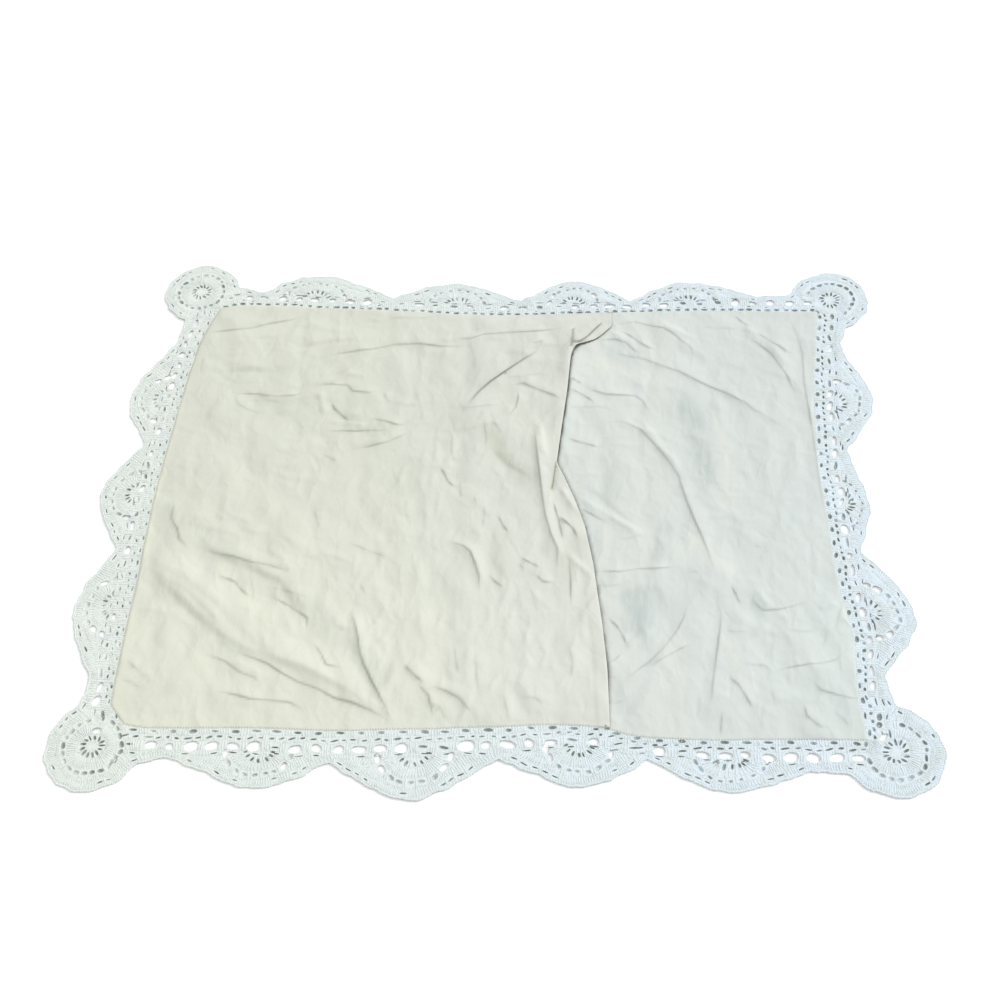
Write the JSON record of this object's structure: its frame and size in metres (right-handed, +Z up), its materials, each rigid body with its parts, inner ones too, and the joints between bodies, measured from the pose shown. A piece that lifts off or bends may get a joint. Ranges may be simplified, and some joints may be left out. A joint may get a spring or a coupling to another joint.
{
  "type": "pillow sham",
  "caption": "Envelope-back cotton pillow sham lying flat, back upwards, with a crocheted scalloped edging all round.",
  "frame": {"origin": "centre of the bounding box in plan, on the flat surface that the sham lies on", "axes": "+X along the long side, towards the narrow back panel; +Y along the short side; +Z up, out of the envelope back"},
  "size_m": [0.7958, 0.6386, 0.0099],
  "materials": {
    "front_cotton": "matt plain-woven off-white cotton",
    "warm_cotton": "matt creased plain-woven cream cotton",
    "cool_cotton": "matt creased plain-woven off-white cotton, slightly cooler",
    "crochet_cotton": "matt white crocheted cotton yarn"
  },
  "bodies": {
    "root": {"front_panel": "front_cotton", "back_panel_wide": "warm_cotton", "back_panel_narrow": "cool_cotton", "lace_edging": "crochet_cotton"}
  },
  "joints": []
}
